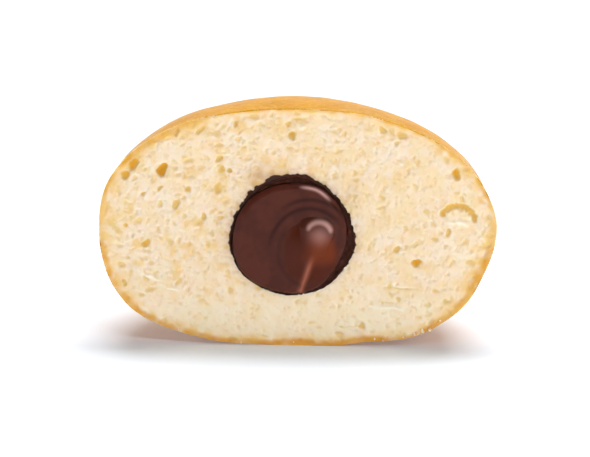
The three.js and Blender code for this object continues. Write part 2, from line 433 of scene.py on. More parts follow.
tear_depths = np.zeros(len(face_flat))
wander = 0.5 * smooth_noise(face_flat, 1.8, 9)
for x0, z0, x1, z1, half_width, depth in tears:
    share, apart, to_left = beside_line(face_flat, (x0, z0), (x1, z1))
    profile = depth * bell(to_left + wander, half_width) * np.sin(math.pi * share) ** 0.5
    tear_depths = tear_depths + np.where(apart > half_width * 4, 0, profile)

foam = uneven(face_flat, (0.6, 0.7, 1), (0.6, 1.4, 2))
waves = uneven(face_flat, (0.16, 7, 5), (0.08, 3, 6))
from_edge = inside_outline(face_flat)
from_edge[:outline_count] = 0
rounding = edge_round_depth * np.clip(1 - from_edge / edge_round, 0, 1) ** 2
from_pocket = outside_pocket(face_flat)
pocket_slice = slice(outline_count, outline_count + pocket_count)
from_pocket[pocket_slice] = 0
face_y = face_depth + tear_depths + foam_depth * foam + waves + set_back + rounding
print("lowest and deepest point of the face:", np.round([face_y.min(), face_y.max()], 2), "mm")

# %% [markdown]
# ## The crust's own form, and the wall of the pocket
# The skin of the bun is the other side of the same mesh. Its points are laid out on a
# flat disc, where the centre stands for the middle of the back and the rim for the edge
# of the cut, then each is sent out to the skin in its own direction. The pocket's wall
# goes back from the torn edge in rings that get further apart, because only the first
# millimetres show.

# %% The crust
crust_pitch = 0.0138  # on the disc, whose radius is 1: about 0.8 mm on the bun
rows_end = 0.964  # where the rows give way to rings
rim_rings = ((0.992, 760), (0.984, 620), (0.974, 500))  # radius and number of points
lump_inset = 0.2  # mm, so that the lumps hardly stand out of the bun's form

discs = staggered_rows(1, 1, crust_pitch)
discs = discs[polar(discs)[0] < rows_end]
near_rim = [
    radius * on_circle(np.linspace(0, 2 * math.pi, count, endpoint=False)) for radius, count in rim_rings
]
crust_flat = np.concatenate([on_circle(polar(outline_ring)[1]), discs, *near_rim])
crust_triangles = triangulate(crust_flat, closed_edges(0, outline_count))

out = polar(crust_flat)[0]
from_back = out * math.pi / 2
sideways = crust_flat / np.maximum(out, 1e-9)[:, None]
crust_directions = np.stack([
    np.sin(from_back) * sideways[:, 0],
    np.cos(from_back),
    np.sin(from_back) * sideways[:, 1],
], axis=1)
crust_points = crust_directions * skin_distance(crust_directions)[:, None]
lumps = uneven(crust_points, (0.16, 9, 21), (0.07, 3.2, 22))
above_foot = np.clip((crust_points[:, 2] + waist_height) / 2, 0, 1)
crust_points = crust_points + crust_directions * ((lumps - lump_inset) * above_foot)[:, None]
print("crust points:", len(crust_points), "triangles:", len(crust_triangles))

# %% The pocket's wall
wall_depths = [0.2, 0.45, 0.75, 1.1, 1.6, 2.3, 3.3, 4.8, 6.8, 9.2, 11.6, 13.6]
wall_room = 0.25  # how far the wall lies outside its bowl, to leave room for the cream
torn_depth = 2.5  # the edge's raggedness dies away over this depth

wall_rings = []
pocket_turns = polar(pocket_ring - pocket_centre)[1]
torn = pocket_edge(pocket_turns) - pocket_radius
circle = on_circle(pocket_turns)
for depth in wall_depths:
    bowl = pocket_radius * math.sqrt(1 - (depth / pocket_depth) ** 2)
    deep = np.full(pocket_count, depth)
    lumpy = 0.25 * smooth_noise(np.column_stack([circle * bowl, deep]), 1.1, 8)
    radii = bowl + wall_room + torn * math.exp(-depth / torn_depth) + lumpy * min(1, depth)
    flat = circle * radii[:, None] + pocket_centre
    wall_rings.append(np.column_stack([flat[:, 0], deep, flat[:, 1]]))
wall_end = np.array([[pocket_centre[0], pocket_depth, pocket_centre[1]]])
print("rings of the pocket's wall:", len(wall_rings))


# %% One closed mesh of the dough
def between_rings(rings, end):
    """Triangles between each ring of point numbers and the next, and from the last to one point."""
    triangles = []
    for this, after in zip(rings, rings[1:]):
        triangles.append(np.stack([this, after, np.roll(after, -1)], axis=1))
        triangles.append(np.stack([this, np.roll(after, -1), np.roll(this, -1)], axis=1))
    last = rings[-1]
    triangles.append(np.stack([last, np.full(len(last), end), np.roll(last, -1)], axis=1))
    return np.concatenate(triangles)


face_points = np.column_stack([face_flat[:, 0], face_y, face_flat[:, 1]])
face_points[:outline_count, 1] = set_back + 0.12 * smooth_noise(outline_ring, 1.3, 12)
face_points[pocket_slice, 1] = 0.1
crust_points[:outline_count] = face_points[:outline_count]

face_size = len(face_points)
crust_own = crust_points[outline_count:]
crust_index = np.concatenate([np.arange(outline_count), face_size + np.arange(len(crust_own))])
dough_points = np.concatenate([face_points, crust_own, *wall_rings, wall_end])
wall_start = face_size + len(crust_own)
wall_numbers = np.arange(wall_start, len(dough_points) - 1).reshape(-1, pocket_count)
wall_index = [np.arange(face_size)[pocket_slice], *wall_numbers]
wall_triangles = between_rings(wall_index, len(dough_points) - 1)
print("points of the dough:", len(dough_points))


# %% Making a mesh object
def facing(points, triangles, outwards):
    """The triangles, each turned so that its normal agrees with outwards(centre)."""
    a, b, c = (points[triangles[:, k]] for k in (0, 1, 2))
    normal = np.cross(b - a, c - a)
    wrong = np.einsum("ij,ij->i", normal, outwards((a + b + c) / 3)) < 0
    turned = triangles.copy()
    turned[wrong] = triangles[wrong][:, ::-1]
    return turned


def add_object(name, data):
    """A new object in the scene."""
    thing = bpy.data.objects.new(name, data)
    bpy.context.scene.collection.objects.link(thing)
    return thing


def mesh_object(name, points, triangles):
    """A smooth-shaded object from points in millimetres about the middle."""
    mesh = bpy.data.meshes.new(name)
    mesh.from_pydata((points * MM + np.array(middle)).tolist(), [], triangles.tolist())
    mesh.polygons.foreach_set("use_smooth", np.ones(len(triangles), bool))
    mesh.update()
    sides = np.sort(triangles[:, [0, 1, 1, 2, 2, 0]].reshape(-1, 2), axis=1)
    shared = np.unique(sides, axis=0, return_counts=True)[1]
    print(name, "has", len(triangles), "triangles and", int((shared != 2).sum()), "open edges")
    return add_object(name, mesh)


pocket_middle = np.array([pocket_centre[0], 0, pocket_centre[1]])
face_turned = facing(dough_points, face_triangles, lambda c: np.tile([0.0, -1.0, 0.0], (len(c), 1)))
crust_turned = facing(dough_points, crust_index[crust_triangles], lambda c: c)
wall_turned = facing(dough_points, wall_triangles, lambda c: pocket_middle - c)
dough_triangles = np.concatenate([face_turned, crust_turned, wall_turned])
dough = mesh_object("fried_dough", dough_points, dough_triangles)

# %% Which triangles are crust, and the sharp edge of the cut
CRUMB, CRUST = 0, 1
slots = np.full(len(dough.data.polygons), CRUMB, np.int32)
slots[len(face_turned) : len(face_turned) + len(crust_turned)] = CRUST
dough.data.polygons.foreach_set("material_index", slots)
pairs = np.zeros(2 * len(dough.data.edges), np.int32)
dough.data.edges.foreach_get("vertices", pairs)
on_outline = (pairs.reshape(-1, 2) < outline_count).all(axis=1)
dough.data.edges.foreach_set("use_edge_sharp", on_outline)
print("edges of the cut kept sharp:", int(on_outline.sum()))

# %% [markdown]
# ## What the materials need to know
# A shader can't measure how far a place is from the crust or how deep a pore is, so the
# mesh keeps a few numbers for each point: how hollow it is, how much it is lifted, how
# much it belongs to the browned edge and to the golden crumb inside that, and how much it
# is soaked or stained with cream.

# %% How browned and golden each place of the cut is
# Widths in mm at turns in degrees round the cut: of the browned edge, and of the gold inside it.
crust_thickness = [
    (-180, 0.7), (-165, 1.3), (-150, 1.0), (-125, 0.9), (-80, 1.2), (-62, 1.3), (-45, 0.6),
    (-28, 1.5), (-18, 2.4), (-5, 1.1), (10, 0.7), (40, 0.3), (90, 0.25), (125, 0.4),
    (140, 1.1), (152, 1.2), (165, 0.7), (180, 0.7),
]
halo_width = [
    (-180, 3.4), (-120, 2.4), (-70, 1.6), (-30, 3.4), (0, 4.2), (30, 3.2), (60, 2.0),
    (120, 2.0), (150, 3.4), (180, 3.4),
]
browned_fade = 1.0


def by_turn(points, widths):
    """A width at each point's turn about the origin."""
    return np.interp(np.degrees(polar(points)[1]), *np.transpose(widths))


thickness = by_turn(face_flat, crust_thickness)
thickness = thickness * (1 + uneven(face_flat, (0.45, 3.6, 14), (0.2, 1.4, 15)))
browned = np.clip((thickness - from_edge) / browned_fade + 0.5, 0, 1)
browned = browned * np.clip(0.85 + 0.35 * smooth_noise(face_flat, 1.8, 20), 0, 1)
golden = np.clip(1 - (from_edge - thickness) / by_turn(face_flat, halo_width), 0, 1) ** 1.2
golden = golden * np.clip(0.7 + 0.9 * smooth_noise(face_flat, 1.5, 18), 0, 1)
# Soft golden patches in the crumb: most of them at the left, few low down.
patched = np.interp(face_flat[:, 0], [-12, 10], [0.6, 0.3])
patched = patched * np.interp(face_flat[:, 1], [-22, -10], [0.2, 1])
patch_height = uneven(face_flat, (0.55, 2.4, 51), (0.55, 1.3, 52))
golden = np.maximum(golden, patched * np.clip((patch_height - 0.12) / 0.5, 0, 1))
print("share of the face that is browned:", round(float((browned > 0.5).mean()), 3))

# %% How soaked and stained with cream it is
# Width of the soaked edge round the pocket, in mm, at turns in degrees about its centre.
soak_width = [
    (-180, 0.3), (-120, 0.1), (-60, 0.12), (-20, 0.45), (30, 0.45), (60, 0.4), (100, 0.65),
    (140, 0.95), (165, 0.4), (180, 0.3),
]
soak_fade = 0.35
stain_reach = 0.9  # mm beyond the soaked edge
# Larger stains, one at the upper left of the pocket and faint ones beside it: place, half sizes, strength.
large_stains = [
    ((-7.6, 12.0), (3.2, 2.0), 0.7), ((-15.4, -2.5), (2.6, 6.5), 0.2), ((12.6, 8.4), (2.0, 2.6), 0.3),
]

width = by_turn(face_flat - pocket_centre, soak_width)
width = width * (1 + uneven(face_flat, (0.7, 1.3, 16), (0.6, 0.6, 17)))
soaked = np.clip((width - from_pocket) / soak_fade + 0.5, 0, 1)
stained = np.exp(-np.maximum(from_pocket - width, 0) / stain_reach) * np.clip(width * 1.6, 0, 1)
blotted = 1 + 0.6 * smooth_noise(face_flat, 1.2, 19)
for place, half, strength in large_stains:
    stain = np.exp(-np.sum(((face_flat - place) / half) ** 2, axis=1))
    stained = stained + strength * stain * blotted
stained = np.clip(stained, 0, 1)
print("share of the face that is soaked:", round(float((soaked > 0.5).mean()), 3))

# %% Numbers kept on the dough
deep_colour_at = 1.1  # mm below the face, where a pore has its full colour: golden, and partly painted shade
raised_colour_at = 0.25  # and above it, where a ridge has its full paler colour, partly painted light


def store(thing, name, values):
    """Keeps one number for each point, for the materials to read."""
    layer = thing.data.attributes.new(name, "FLOAT", "POINT")
    layer.data.foreach_set("value", np.asarray(values, np.float32))


hollow = np.clip((face_depth + np.maximum(tear_depths, 0)) / deep_colour_at, 0, 1)
raised = np.clip(-tear_depths / raised_colour_at, 0, 1)
wall_size = len(dough_points) - wall_start
# Each number: its name, its values on the cut, on the crust and on the pocket's wall.
for name, on_face, on_crust, on_wall in (
    ("hollow", hollow, 0, 1),
    ("raised", raised, 0, 0),
    ("browned", browned, 1, 0),
    ("golden", golden, 0, 0),
    ("soaked", soaked, 0, 1),
    ("stained", stained, 0, 1),
):
    rest = np.repeat([on_crust, on_wall], [len(crust_own), wall_size])
    store(dough, name, np.concatenate([on_face, rest]))
print("stored:", [a.name for a in dough.data.attributes if a.data_type == "FLOAT"])

# %% [markdown]
# ## The chocolate cream
# The cream was piped in through the side, and the cut has drawn a soft peak out of it
# that has drooped under its own weight. It is smooth and thick, so its front is a height
# over the plane of the cut: a nearly flat disc with a rounded rim, a broad lobe, and on it
# a drop whose round head stands out furthest and whose thin tail hangs to the rim. Rings
# of points round the disc's centre follow its rim exactly, which a square grid would not.

# %% Sizes of the cream, in millimetres from the pocket's centre
disc_half = np.array([12.6, 12.35])
disc_centre = np.array([-0.65, -0.5])
# Where the disc's edge bulges or draws in: turn in degrees, width in degrees, height in mm.
disc_swells = [(64, 22, 0.4), (-30, 28, -1.4), (6, 24, -0.5), (212, 26, 0.6)]
disc_stand = 1.3  # how far the disc's rim stands out of the cut
disc_dome = 0.25  # and its middle beyond that
rim_width = 1.15  # the rim rounds off over this width
rim_drop = 0.85  # and this height
rim_roundness = 1.35  # 2 is an ellipse, and less is nearer to a slope
recess = 0.35  # how far the smeared cream lies back in the gap outside the rim

lobe_centre = np.array([3.2, -3.3])
lobe_half = np.array([6.5, 7.4])
lobe_height = 1.8
head_centre = np.array([5.5, 1.5])
head_half = 3.25
head_height = 2.9
head_roundness = 0.6  # 0.5 is an ellipse, and more is nearer to a cone
head_ease = 1.2  # how softly the head meets the lobe
head_leans = np.array([-0.92, -0.38])  # towards the lower left the head runs out more gently,
head_lean = 0.55  # over so much more of its half size
lean_roundness = 0.9  # and so much nearer to a cone
tail_tip = np.array([1.2, -11.8])
tail_half = 0.5
tail_height = 0.9
# Grooves left by the piping: how far out, as a share of the lobe's half sizes, turn in
# degrees, strength.
grooves_left = [(1.34, 105, 1), (1.6, 60, 1), (1.03, 195, 0.4)]
groove_width = 0.07
groove_depth = 0.05


# %% How far the cream stands out
def smooth_step(value, low, high):
    share = np.clip((value - low) / (high - low), 0, 1)
    return share * share * (3 - 2 * share)


def smooth_most(one, other, ease):
    """The greater of two heights, with the crease between them eased."""
    share = np.clip(0.5 + 0.5 * (one - other) / ease, 0, 1)
    return other * (1 - share) + one * share + ease * share * (1 - share)


def grooves(flat):
    """How much each point lies in a groove that the piping left, 0 to 1."""
    reach, angle = polar((flat - lobe_centre) / lobe_half)
    total = np.zeros(len(flat))
    for groove_reach, turn, share in grooves_left:
        there = share * smooth_step(np.cos(angle - math.radians(turn)), 0.25, 0.8)
        total = total + there * bell(reach - groove_reach, groove_width)
    return total


def cream_stand(flat):
    """How far the cream's front stands out of the plane of the cut, in mm."""
    from_disc = (flat - disc_centre) / disc_half
    dome = disc_dome * np.clip(1 - np.sum(from_disc**2, axis=1), 0, 1)
    from_lobe = np.sum(((flat - lobe_centre) / lobe_half) ** 2, axis=1)
    lobe = lobe_height * np.clip(1 - from_lobe, 0, 1) ** 1.3

    # The drop is a dome at its head, and narrows and sinks towards its tail.
    share, apart, _ = beside_line(flat, head_centre, tail_tip)
    leaning = smooth_step((flat - head_centre) @ head_leans, -1, 3.5)
    half = head_half * (1 + head_lean * leaning) * (1 - share) ** 1.1 + tail_half * share
    steepness = head_roundness + lean_roundness * leaning
    drop = head_height * (1 - share) ** 1.2 * np.clip(1 - (apart / half) ** 2.4, 0, 1) ** steepness
    meeting = head_ease * smooth_step(np.minimum(lobe, drop), 0, 0.5)
    body = smooth_most(lobe, drop, np.maximum(meeting, 1e-3))
    ridge = tail_height * smooth_step(share, 0.1, 0.5) * (1 - 0.3 * share)
    tail = ridge * bell(apart, tail_half + 1.5 * (1 - share) ** 2)
    return disc_stand + dome + body - groove_depth * grooves(flat) + tail


# %% Rings of the cream's front, round the disc's centre
cream_around = 420
rings_on_disc = 120
rings_on_rim = 12
cream_turns = np.linspace(0, 2 * math.pi, cream_around, endpoint=False)
circle = on_circle(cream_turns)
disc_edge = circle * disc_half
waver = uneven(disc_edge, (0.14, 5, 31), (0.07, 2, 32)) + swelling(cream_turns, disc_swells)
disc_edge = disc_edge + circle * waver[:, None]

cream_rings = []


def add_ring(flat, stand):
    """Adds a ring of points that stand out of the cut by so much."""
    cream_rings.append(np.column_stack([flat, np.broadcast_to(stand, cream_around)]))


for number in range(1, rings_on_disc + 1):
    flat = disc_centre + (disc_edge - circle * rim_width) * number / rings_on_disc
    add_ring(flat, cream_stand(flat))
edge_stand = cream_rings[-1][:, 2]
for number in range(1, rings_on_rim + 1):
    bend = number / rings_on_rim * math.pi / 2
    across = math.sin(bend) ** (2 / rim_roundness)
    down = 1 - math.cos(bend) ** (2 / rim_roundness)
    flat = disc_centre + disc_edge - circle * rim_width * (1 - across)
    add_ring(flat, edge_stand - rim_drop * down)
print("rings on the front of the cream:", len(cream_rings))

# %% The smeared gap outside the rim, and the bowl behind
tuck = 0.2  # how far the rim turns in behind itself
bowl_rows = 10
bowl_depth = pocket_depth - 0.4
bowl_radius = pocket_radius - 0.3

tucked = disc_centre + disc_edge - circle * tuck
tucked_reach, tucked_turns = polar(tucked)
add_ring(tucked, -recess / 2)
# The smear just reaches the torn edge of the crumb.
wall_reach = pocket_edge(tucked_turns) + 0.05
gap = wall_reach - tucked_reach - tuck
print("least gap between the disc and the crumb:", round(gap.min(), 2), "mm")
gap_start = np.minimum(tucked_reach, wall_reach - 0.4)
outwards = tucked / tucked_reach[:, None]
for share in np.linspace(0, 1, 9):
    flat = outwards * (gap_start + (wall_reach - gap_start) * share)[:, None]
    lump = uneven(flat, (0.45, 1.3, 33), (0.2, 0.6, 34))
    add_ring(flat, lump * math.sin(math.pi * share) - recess)
for number in range(1, bowl_rows):
    slope = math.pi / 2 * number / bowl_rows
    bowl = min(1, 2 * number / bowl_rows)
    reach = (wall_reach * (1 - bowl) + bowl_radius * bowl) * math.cos(slope)
    depth = recess + (bowl_depth - recess) * math.sin(slope)
    add_ring(outwards * reach[:, None], -depth)
print("all rings of the cream:", len(cream_rings))

# %% One closed mesh of the cream
front_middle = np.array([[*disc_centre, cream_stand(disc_centre[None, :])[0]]])
back_middle = np.array([[0.0, 0.0, -bowl_depth]])
local = np.concatenate([front_middle, *cream_rings, back_middle])
flat, stand = local[:, :2], local[:, 2]
placed = flat + pocket_centre
cream_points = np.column_stack([placed[:, 0], -stand, placed[:, 1]])
ring_numbers = [*np.arange(1, len(local) - 1).reshape(-1, cream_around)]
first = ring_numbers[0]
fan = np.stack([np.zeros(cream_around, int), first, np.roll(first, -1)], axis=1)
cream_triangles = np.concatenate([fan, between_rings(ring_numbers, len(local) - 1)])
cream = mesh_object("chocolate_cream", cream_points, cream_triangles)
print("the cream stands out", round(stand.max(), 2), "mm")

# %% [markdown]
# The cream too keeps numbers for its material. Where it is drawn thin it lets more light through: on the
# drop and along its tail. Light and shade are painted on it as well: painted highlights along the upper
# edge of its head, on the head's top, along the tail and on a short stretch of the disc's rim; painted
# light on the lobe's right side; and painted shade in the lobe's deeper red on its left side, in the
# grooves and in the gap outside the rim.

# %% Where the cream is thin, and where light and shade are painted on it
least_painted_light = 0.08  # how much of the lobe's warmth and painted light its left side has
highlight_arc_centre = np.array([5.35, 1.5])  # a painted highlight along the head's upper edge: the centre of its arc,
highlight_arc_turn = 84  # its middle in degrees,
highlight_arc_reach = 0.8  # its radius as a share of the head's half size,
highlight_arc_width = 0.145  # and how wide it is
top_highlight = 0.34  # the head's top has a painted highlight too, by so much,
top_highlight_reach = 0.65  # over so much of its half size
rim_highlight = 1.15  # how strong the painted highlight on the disc's rim is,
rim_highlight_turn = 64  # its middle in degrees,
rim_highlight_inset = 0.6  # how far it lies inside the rim,
rim_highlight_width = 0.3  # and how wide it is


def round_about(angle, turn, low, high):
    """How much each angle lies near a turn in degrees, by limits of the cosine between them."""
    return smooth_step(np.cos(angle - math.radians(turn)), low, high)


in_front = stand > 0
share, apart, to_side = beside_line(flat, head_centre, tail_tip)
# Over the lobe a deeper red: partly the cream's own colour, partly painted shade on its left side.
on_lobe = smooth_step(1.02 - polar((flat - lobe_centre) / lobe_half)[0], 0, 0.3) * in_front
# The lobe's right side: warmer where drawn thin, and painted lighter as if lit from the right, ending low
# down.
painted_lit_side = smooth_step(to_side + 1.5 * (1 - share), -2.6, 1.7) * smooth_step(flat[:, 1], -7.4, -3.2)
# The tail: lighter where drawn thin, and partly a painted highlight along its ridge.
on_tail = bell(apart, tail_half + 0.1) * smooth_step(share, 0.3, 0.6) * in_front
# Painted highlights: an arc along the head's upper edge, a soft one on its top, and a stretch of the
# disc's rim.
reach, angle = polar(flat - highlight_arc_centre)
on_highlight_arc = bell(reach / head_half - highlight_arc_reach, highlight_arc_width) * round_about(angle, highlight_arc_turn, 0.0, 0.5)
on_top_highlight = top_highlight * bell(polar(flat - head_centre)[0], top_highlight_reach * head_half)
reach, angle = polar(flat - disc_centre)
edge_reach = np.interp(angle % (2 * math.pi), cream_turns, polar(disc_edge)[0], period=2 * math.pi)
on_rim_highlight = bell(edge_reach - reach - rim_highlight_inset, rim_highlight_width)
on_rim_highlight = rim_highlight * on_rim_highlight * round_about(angle, rim_highlight_turn, 0.94, 0.998)
for name, values in (
    # deeper red on the lobe, partly painted shade on its left side
    ("on_lobe", on_lobe),
    # warmer where drawn thin, and partly painted light on the lobe's right side
    ("thin_and_painted_light", on_lobe * np.maximum(painted_lit_side, least_painted_light)),
    # lighter where drawn thin, and partly a painted highlight
    ("tail", on_tail),
    # painted highlights on the head's edge and top and on the disc's rim
    ("painted_highlight", np.maximum(np.maximum(on_highlight_arc, on_top_highlight), on_rim_highlight) * in_front),
    # painted shade in the grooves that the piping left
    ("painted_groove_shade", np.clip(grooves(flat), 0, 1) * in_front),
    # the smear in the gap outside the rim: its own colour, darkened partly as painted shade of the recess
    ("in_gap", smooth_step(-stand, -0.3, 0.3)),
):
    store(cream, name, values)
print("stored:", [a.name for a in cream.data.attributes if a.data_type == "FLOAT"])

# %% [markdown]
# ## Torn flecks
# The knife tore a few flecks of crumb loose, and they cling to the lower edge of the cut,
# most of them at the right. Each is a small ball pushed out of shape by noise. They are
# one piece, because nobody would move them one by one.

# %% Flecks of crumb along the lower edge
# Each group: how many, from turn to turn in degrees, smallest and largest half size in mm.
fleck_groups = [(4, -44, -34, 0.35, 0.6), (4, -62, -31, 0.16, 0.3), (4, -150, -90, 0.15, 0.28)]

ball = bmesh.new()
bmesh.ops.create_icosphere(ball, subdivisions=3, radius=1)
ball_points = np.array([v.co for v in ball.verts])
ball_triangles = np.array([[v.index for v in f.verts] for f in ball.faces])
ball.free()

fleck_points = []
fleck_triangles = []
for count, turn_from, turn_to, smallest, largest in fleck_groups:
    for _ in range(count):
        turn = math.radians(rng.uniform(turn_from, turn_to))
        size = rng.uniform(smallest, largest)
        reach = outline_at(np.array([turn]))[0] - rng.uniform(0.1, 0.9)
        place = np.array([reach * math.cos(turn), rng.uniform(-0.1, 0.35), reach * math.sin(turn)])
        squash = rng.uniform(0.55, 1.0, 3)
        knobs = 1 + uneven(ball_points + place, (0.4, 0.8, 41), (0.2, 0.35, 42))
        fleck_triangles.append(ball_triangles + len(ball_points) * len(fleck_points))
        fleck_points.append(place + ball_points * squash * size * knobs[:, None])
flecks = mesh_object("torn_crumb_flecks", np.concatenate(fleck_points), np.concatenate(fleck_triangles))
print("flecks:", len(fleck_points))

# %% [markdown]
# ## Colours and nodes
# Colours are written as sRGB hex values, the way a colour picker shows them, and one
# function turns them into the linear values that light adds up in. One small function
# adds a node, sets it, links it and gives back its output, so that a material reads as a
# list of steps. Settings and inputs that many nodes share have a name of their own.

# %% Helpers for materials
BLEND = {"kind": "ShaderNodeMix", "data_type": "RGBA", "output": 2}  # inputs 0 share, 6 and 7 colours
STEP = {"kind": "ShaderNodeMapRange", "interpolation_type": "SMOOTHSTEP"}
TIMES = {"kind": "ShaderNodeMath", "operation": "MULTIPLY"}
TIMES_PLUS = {"kind": "ShaderNodeMath", "operation": "MULTIPLY_ADD"}
NOISE = "ShaderNodeTexNoise"


def colour(hex_value):
    """A linear RGBA colour from an sRGB hex value such as #f3dbb9."""
    channels = [int(hex_value[k : k + 2], 16) / 255 for k in (1, 3, 5)]
    linear = [c / 12.92 if c <= 0.04045 else ((c + 0.055) / 1.055) ** 2.4 for c in channels]
    return (*linear, 1.0)


def add(tree, inputs, kind, output=0, **settings):
    """Adds a node and gives back one of its outputs. Each input gets a value or another output."""
    node = tree.nodes.new(kind)
    for name, value in settings.items():
        setattr(node, name, value)
    for name, value in inputs.items():
        if isinstance(value, bpy.types.NodeSocket):
            tree.links.new(value, node.inputs[name])
        else:
            node.inputs[name].default_value = value
    return node.outputs[output] if node.outputs else node


def new_material(thing, name):
    """An empty material on a thing: its node tree, and the output with the thing's places."""
    material = bpy.data.materials.new(name)
    material.use_nodes = True
    material.node_tree.nodes.clear()
    thing.data.materials.append(material)
    return material.node_tree, add(material.node_tree, {}, "ShaderNodeTexCoord", "Object")


def span(value, low, high, to_low=0.0, to_high=1.0):
    """The inputs of a step between two limits of a value."""
    return {"Value": value, "From Min": low, "From Max": high, "To Min": to_low, "To Max": to_high}


def blotches(places, size_mm, detail=2.0, roughness=0.5):
    """The inputs of a noise with blotches of this size."""
    return {"Vector": places, "Scale": 1 / (size_mm * MM), "Detail": detail, "Roughness": roughness}


def scatter(weight, *radii_mm):
    """The inputs of light that goes in, spreads so far in red, green and blue, and comes out."""
    return {"Subsurface Weight": weight, "Subsurface Radius": radii_mm, "Subsurface Scale": MM}


def finish_surface(tree, inputs, relief=None, strength=0.0, height_mm=0.0):
    """Puts the shader with these inputs on the surface, with a bump where there is a relief."""
    if relief is not None:
        bump = {"Height": relief, "Strength": strength, "Distance": height_mm * MM}
        inputs["Normal"] = add(tree, bump, "ShaderNodeBump")
    shader = add(tree, inputs, "ShaderNodeBsdfPrincipled")
    add(tree, {"Surface": shader}, "ShaderNodeOutputMaterial")
    print("nodes in this material:", len(tree.nodes))


print("crumb in linear light:", [round(c, 3) for c in colour("#f3dbb9")])

# %% [markdown]
# ## The crust's colours
# The crust is starch and sugar browned in hot oil: amber and a little mottled on the
# crown, darker on the base, which fried longest, and pale round the waist, where the bun
# floated clear of the oil. The pale band has a feathered edge, because the oil splashed.
# Height above the table decides, with noise of a few millimetres added to it. The edge of
# the cut has some of the same colours, so this part is used by both materials.

# %% The colours of the crust, by height
band_low = waist_height - 3.6
band_high = waist_height + 6.6
CROWN = ("#c58812", "#d0931a", "#e6ba6c", "#c27604")  # amber, lighter, dry specks, above the band
BASE = ("#d6882c", "#df9a3e", "#bb731e", "#c27220")  # brown, lighter, darkest specks, under the band
BAND = ("#f7e2bf", "#f1d5a6")


def crust_colours(tree, places):
    """The output with the crust's colour at each place."""
    height = add(tree, {"Vector": places}, "ShaderNodeSeparateXYZ", "Z")
    height = add(tree, {0: height, 1: 1 / MM}, **TIMES)
    broad = add(tree, blotches(places, 14, 1), NOISE)
    feather = add(tree, blotches(places, 1.6, 3, 0.65), NOISE)
    shifted = add(tree, {0: broad, 1: 3.4, 2: height}, **TIMES_PLUS)
    shifted = add(tree, {0: feather, 1: 3.0, 2: shifted}, **TIMES_PLUS)
    crown_share = add(tree, span(shifted, band_high + 2.4, band_high + 4.4), **STEP)
    base_share = add(tree, span(shifted, band_low + 3.8, band_low + 2.2), **STEP)

    mottle = add(tree, blotches(places, 5.5, 4, 0.6), NOISE)
    fine = add(tree, blotches(places, 0.9, 3, 0.6), NOISE)
    mottled = add(tree, span(mottle, 0.35, 0.66), **STEP)
    speckled = add(tree, span(fine, 0.54, 0.72, 0, 0.5), **STEP)
    over_band = add(tree, span(height, band_high + 9, band_high - 1, 0, 0.6), **STEP)
    under_band = add(tree, span(shifted, band_low - 1.5, band_low + 2.5, 0, 0.7), **STEP)

    zones = []
    for hexes, last in ((CROWN, over_band), (BASE, under_band), (BAND, None)):
        zone = colour(hexes[0])
        for hex_value, share in zip(hexes[1:], (mottled, speckled, last)):
            zone = add(tree, {0: share, 6: zone, 7: colour(hex_value)}, **BLEND)
        zones.append(zone)
    crown, base, band = zones
    shade = add(tree, {0: crown_share, 6: band, 7: crown}, **BLEND)
    return add(tree, {0: base_share, 6: shade, 7: base}, **BLEND)


print("pale band from", round(band_low, 1), "to", round(band_high, 1), "mm above the table")

# %% [markdown]
# ## Crumb
# Crumb is cooked gluten foam, cut open. It is matt and slightly see-through, so light
# that enters it comes out a millimetre away, and the pores glow golden and not grey.
# Subsurface scattering gives that. The pores' colour comes from how hollow they are: a golden tint, and
# partly painted shade that darkens them the deeper they go.
# A paler colour low down makes up for the shade there. The finest foam, under half a
# millimetre, is only bump.

# %% What decides the cut crumb's colours
tree, places = new_material(dough, "cut_open_crumb")
kept = {}
for name in ("hollow", "raised", "browned", "golden", "soaked", "stained"):
    kept[name] = add(tree, {}, "ShaderNodeAttribute", "Fac", attribute_name=name)
patches = add(tree, blotches(places, 3.2, 3), NOISE)
grains = add(tree, blotches(places, 1.2, 2, 0.6), NOISE)
height = add(tree, {"Vector": places}, "ShaderNodeSeparateXYZ", "Z")

patchy = add(tree, span(patches, 0.4, 0.66), **STEP)
grainy = add(tree, span(grains, 0.5, 0.72, 0, 0.35), **STEP)
in_shade = add(tree, span(height, 16 * MM, 4 * MM, 0, 0.6), **STEP)
gilded = add(tree, {0: kept["golden"], 1: 0.85}, **TIMES)
# Ridges of torn crumb: paler, and partly painted light on their tops.
lifted = add(tree, {0: kept["raised"], 1: 0.7}, **TIMES)
# Pores and torn lines: golden, and darker the deeper they are, partly as painted shade.
pore_side = add(tree, span(kept["hollow"], 0.06, 0.5), **STEP)
pore_floor = add(tree, span(kept["hollow"], 0.5, 1.0), **STEP)
tinged = add(tree, {0: kept["stained"], 1: 0.5}, **TIMES)
smeared = add(tree, span(kept["soaked"], 0.2, 0.8), **STEP)
low = add(tree, span(height, 13 * MM, 3 * MM), **STEP)
edge = add(tree, {0: low, 6: colour("#e3ae4e"), 7: colour("#e2a84e")}, **BLEND)
edge = add(tree, {0: 0.7, 6: crust_colours(tree, places), 7: edge}, **BLEND)
print("nodes that decide the crumb's colour:", len(tree.nodes))

